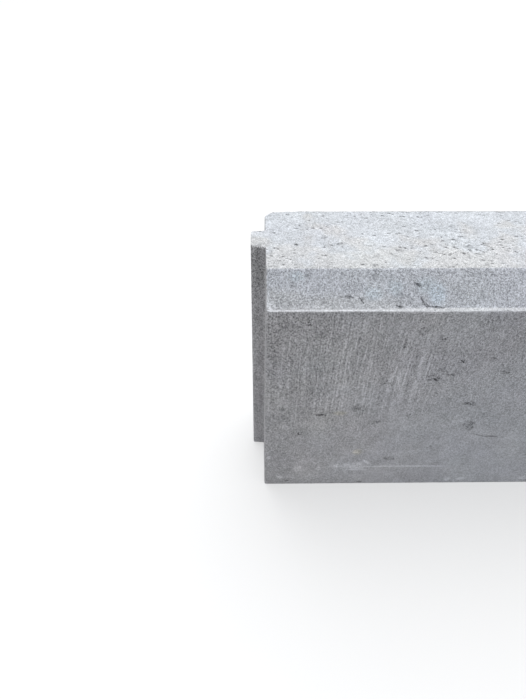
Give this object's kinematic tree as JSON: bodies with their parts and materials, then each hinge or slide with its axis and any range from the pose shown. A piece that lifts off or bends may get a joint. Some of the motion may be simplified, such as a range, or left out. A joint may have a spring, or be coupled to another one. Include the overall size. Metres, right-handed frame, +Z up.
{
  "type": "concrete kerb stone",
  "caption": "Upright precast concrete kerb stone with a splayed front top edge, an upright tongue at one end and a matching groove at the other.",
  "frame": {"origin": "middle of the flat bed that the stone stands on, measured without the tongue", "axes": "+X along the stone from the tongue end to the groove end, +Y from the splayed front face to the back face, +Z up from the bed to the top"},
  "size_m": [1.011, 0.1, 0.25],
  "materials": {
    "concrete": "dry-pressed grey concrete, granular on the top and the splay, smoother with upright drag marks on the upright faces"
  },
  "bodies": {
    "root": {"kerb_stone": "concrete"}
  },
  "joints": []
}
